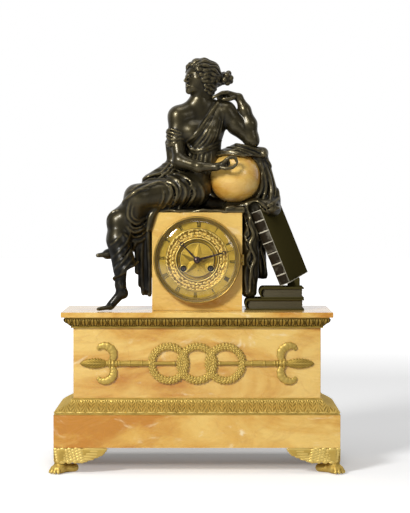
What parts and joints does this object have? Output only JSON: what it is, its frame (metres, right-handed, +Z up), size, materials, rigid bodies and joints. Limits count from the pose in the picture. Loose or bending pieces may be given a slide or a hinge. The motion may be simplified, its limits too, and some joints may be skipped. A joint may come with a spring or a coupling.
{
  "type": "mantel clock",
  "caption": "Marble mantel clock with a draped bronze figure seated on the case, leaning on a globe beside books, with a glazed round dial, pendulum movement and paw feet.",
  "frame": {"origin": "middle of the footprint, on the plane the four paw feet stand on", "axes": "+Z up, -Y out of the dial, +X to the viewer's right"},
  "size_m": [0.4248, 0.1768, 0.6049],
  "materials": {
    "marble": "polished ochre marble with white patches and brown veins",
    "globe_marble": "polished ochre marble",
    "gilt_bronze": "chased gilt bronze, matt and burnished",
    "dial_gilt": "engine-turned and matt gilt bronze",
    "patinated_bronze": "dark brown patinated bronze, waxed",
    "brass": "turned brass",
    "steel": "turned steel",
    "blued_steel": "blued steel",
    "bell_metal": "turned bell metal",
    "glass": "clear domed glass"
  },
  "bodies": {
    "clock_case": {"lower_plinth": "marble", "base_block": "marble", "top_slab": "marble", "case_front": "marble", "case_back": "marble", "case_shell": "marble", "globe": "globe_marble", "plinth_moulding": "gilt_bronze", "cornice_moulding": "gilt_bronze", "foot_front_left": "gilt_bronze", "foot_front_right": "gilt_bronze", "foot_rear_left": "gilt_bronze", "foot_rear_right": "gilt_bronze", "wreath_mount": "gilt_bronze", "torch_left": "gilt_bronze", "torch_right": "gilt_bronze", "dial_plate": "dial_gilt", "chapter_ring": "dial_gilt", "dial_garland": "dial_gilt", "tie_bolt_left": "steel", "tie_bolt_right": "steel", "bezel_hinge_pin": "steel", "bell_stand": "steel", "bell": "bell_metal", "figure_body": "patinated_bronze", "figure_head": "patinated_bronze", "figure_right_arm": "patinated_bronze", "figure_left_arm": "patinated_bronze", "globe_drapery": "patinated_bronze", "leaning_book": "patinated_bronze", "upper_book": "patinated_bronze", "lower_book": "patinated_bronze", "rear_frame": "brass", "dial_seat": "brass", "front_plate": "brass", "back_plate": "brass", "suspension_cock": "brass"},
    "bezel_frame": {"bezel": "gilt_bronze", "bezel_glass": "glass"},
    "back_door": {"rear_door": "brass"},
    "minute_hand_set": {"cannon_pinion": "brass", "minute_hand": "blued_steel"},
    "hour_hand_set": {"hour_wheel": "brass", "hour_hand": "blued_steel"},
    "motion_wheel": {"minute_wheel": "brass"},
    "centre_arbor": {"centre_wheel": "brass"},
    "intermediate_arbor": {"intermediate_wheel": "brass"},
    "going_drum": {"going_barrel": "brass"},
    "going_winder": {"going_winding_arbor": "steel"},
    "third_arbor": {"third_wheel": "brass"},
    "escape_arbor": {"escape_wheel": "brass"},
    "strike_drum": {"strike_barrel": "brass"},
    "strike_winder": {"strike_winding_arbor": "steel"},
    "count_arbor": {"count_wheel": "brass"},
    "pin_arbor": {"pin_wheel": "brass"},
    "warning_arbor": {"warning_wheel": "brass"},
    "fly_arbor": {"fly": "brass"},
    "pendulum_body": {"pendulum": "brass"},
    "anchor": {"pallet_anchor": "steel"},
    "hammer_body": {"hammer": "steel"}
  },
  "joints": [
    {"name": "bezel_hinge", "type": "hinge", "parent": "clock_case", "child": "bezel_frame", "pos_m": [0.0668, -0.029, 0.3076], "axis": [0, 0, 1], "range_deg": [0, 105]},
    {"name": "rear_door_hinge", "type": "hinge", "parent": "clock_case", "child": "back_door", "pos_m": [-0.048, 0.0852, 0.3076], "axis": [0, 0, 1], "range_deg": [0, 100]},
    {"name": "minute_hand_turn", "type": "hinge", "parent": "clock_case", "child": "minute_hand_set", "pos_m": [0, -0.025, 0.3076], "axis": [0, 1, 0], "continuous": true},
    {"name": "motion_wheel_turn", "type": "hinge", "parent": "clock_case", "child": "motion_wheel", "pos_m": [0, -0.02, 0.31966], "axis": [0, 1, 0], "continuous": true},
    {"name": "hour_hand_turn", "type": "hinge", "parent": "clock_case", "child": "hour_hand_set", "pos_m": [0, -0.027, 0.3076], "axis": [0, 1, 0], "continuous": true},
    {"name": "escape_turn", "type": "hinge", "parent": "clock_case", "child": "escape_arbor", "pos_m": [0, 0.01, 0.3296], "axis": [0, 1, 0], "continuous": true},
    {"name": "third_turn", "type": "hinge", "parent": "clock_case", "child": "third_arbor", "pos_m": [-0.00252, 0.01, 0.31906], "axis": [0, 1, 0], "continuous": true},
    {"name": "centre_turn", "type": "hinge", "parent": "clock_case", "child": "centre_arbor", "pos_m": [0, 0.01, 0.3076], "axis": [0, 1, 0], "continuous": true},
    {"name": "intermediate_turn", "type": "hinge", "parent": "clock_case", "child": "intermediate_arbor", "pos_m": [0.01203, 0.01, 0.31459], "axis": [0, 1, 0], "continuous": true},
    {"name": "going_barrel_turn", "type": "hinge", "parent": "clock_case", "child": "going_drum", "pos_m": [0.02, 0, 0.2946], "axis": [0, 1, 0], "continuous": true},
    {"name": "going_winding", "type": "hinge", "parent": "clock_case", "child": "going_winder", "pos_m": [0.02, -0.025, 0.2946], "axis": [0, 1, 0], "continuous": true},
    {"name": "fly_turn", "type": "hinge", "parent": "clock_case", "child": "fly_arbor", "pos_m": [-0.02304, 0.01, 0.33499], "axis": [0, 1, 0], "continuous": true},
    {"name": "warning_turn", "type": "hinge", "parent": "clock_case", "child": "warning_arbor", "pos_m": [-0.01496, 0.01, 0.33252], "axis": [0, 1, 0], "continuous": true},
    {"name": "pin_turn", "type": "hinge", "parent": "clock_case", "child": "pin_arbor", "pos_m": [-0.01784, 0.01, 0.3231], "axis": [0, 1, 0], "continuous": true},
    {"name": "count_turn", "type": "hinge", "parent": "clock_case", "child": "count_arbor", "pos_m": [-0.02593, 0.01, 0.31529], "axis": [0, 1, 0], "continuous": true},
    {"name": "strike_barrel_turn", "type": "hinge", "parent": "clock_case", "child": "strike_drum", "pos_m": [-0.02, 0, 0.2946], "axis": [0, 1, 0], "continuous": true},
    {"name": "strike_winding", "type": "hinge", "parent": "clock_case", "child": "strike_winder", "pos_m": [-0.02, -0.025, 0.2946], "axis": [0, 1, 0], "continuous": true},
    {"name": "pendulum_swing", "type": "hinge", "parent": "clock_case", "child": "pendulum_body", "pos_m": [0, 0.036, 0.3456], "axis": [0, 1, 0], "range_deg": [-4, 4]},
    {"name": "anchor_swing", "type": "hinge", "parent": "clock_case", "child": "anchor", "pos_m": [0, 0.03, 0.3456], "axis": [0, 1, 0], "range_deg": [-4.2, 4.2]},
    {"name": "hammer_swing", "type": "hinge", "parent": "clock_case", "child": "hammer_body", "pos_m": [-0.03001, 0.03, 0.32962], "axis": [0, 1, 0], "range_deg": [0, 12], "stiffness_Nm_per_rad": 0.02}
  ],
  "couplings": [
    {"joint": "motion_wheel_turn", "follows": "minute_hand_turn", "ratio": -0.33333},
    {"joint": "hour_hand_turn", "follows": "minute_hand_turn", "ratio": 0.083333},
    {"joint": "third_turn", "follows": "escape_turn", "ratio": -0.090909},
    {"joint": "centre_turn", "follows": "escape_turn", "ratio": 0.0075758},
    {"joint": "intermediate_turn", "follows": "escape_turn", "ratio": -0.0012626},
    {"joint": "going_barrel_turn", "follows": "escape_turn", "ratio": 0.00018038},
    {"joint": "warning_turn", "follows": "fly_turn", "ratio": -0.16667},
    {"joint": "pin_turn", "follows": "fly_turn", "ratio": 0.027778},
    {"joint": "count_turn", "follows": "fly_turn", "ratio": -0.0046296},
    {"joint": "strike_barrel_turn", "follows": "fly_turn", "ratio": 0.00066138},
    {"joint": "anchor_swing", "follows": "pendulum_swing", "ratio": 1}
  ]
}
